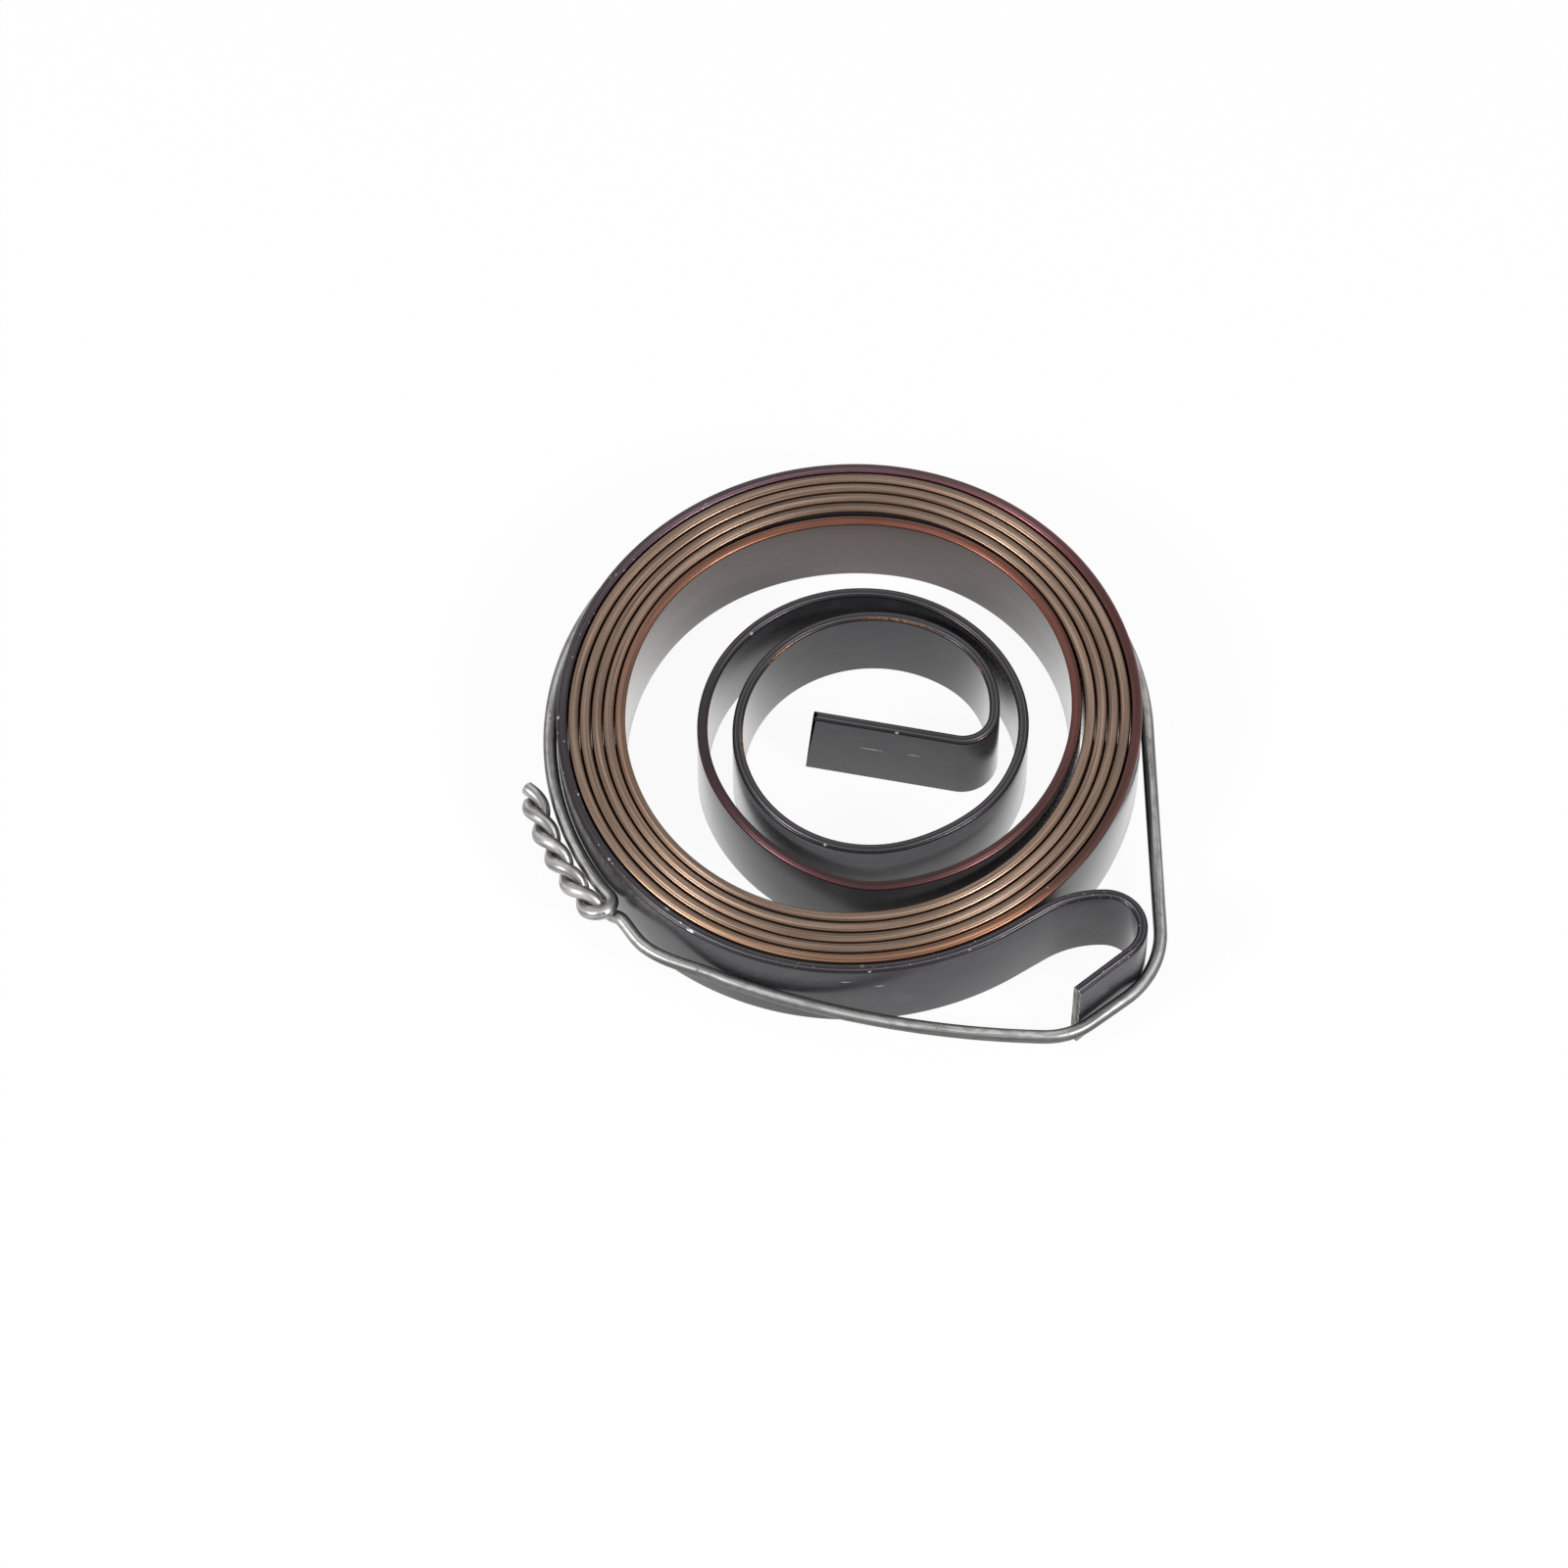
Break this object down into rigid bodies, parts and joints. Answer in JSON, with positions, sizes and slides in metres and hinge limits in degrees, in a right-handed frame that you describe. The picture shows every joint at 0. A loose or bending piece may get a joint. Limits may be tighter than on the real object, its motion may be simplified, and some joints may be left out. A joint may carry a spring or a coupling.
{
  "type": "spiral power spring",
  "caption": "Flat spiral power spring of rolled steel strip, with a straight inner tab for an arbor slot and an outer hook, held wound by a twisted steel tie wire.",
  "frame": {"origin": "on the axis of the tight coil, in the plane the strip's lower edges lie in", "axes": "+Z along the coil's axis, up through the strip's width; +X along the inner tab from its free end towards its bend; seen from +Z the strip runs counter-clockwise as it goes outwards"},
  "size_m": [0.0376, 0.0355, 0.0056],
  "materials": {
    "spring_strip": "hardened and tempered spring steel strip, smooth dark grey faces and taupe slit edges",
    "tie_wire": "dull zinc-coated soft steel wire with drawn streaks"
  },
  "bodies": {
    "root": {"spiral_spring": "spring_strip", "tie_wire": "tie_wire"}
  },
  "joints": []
}
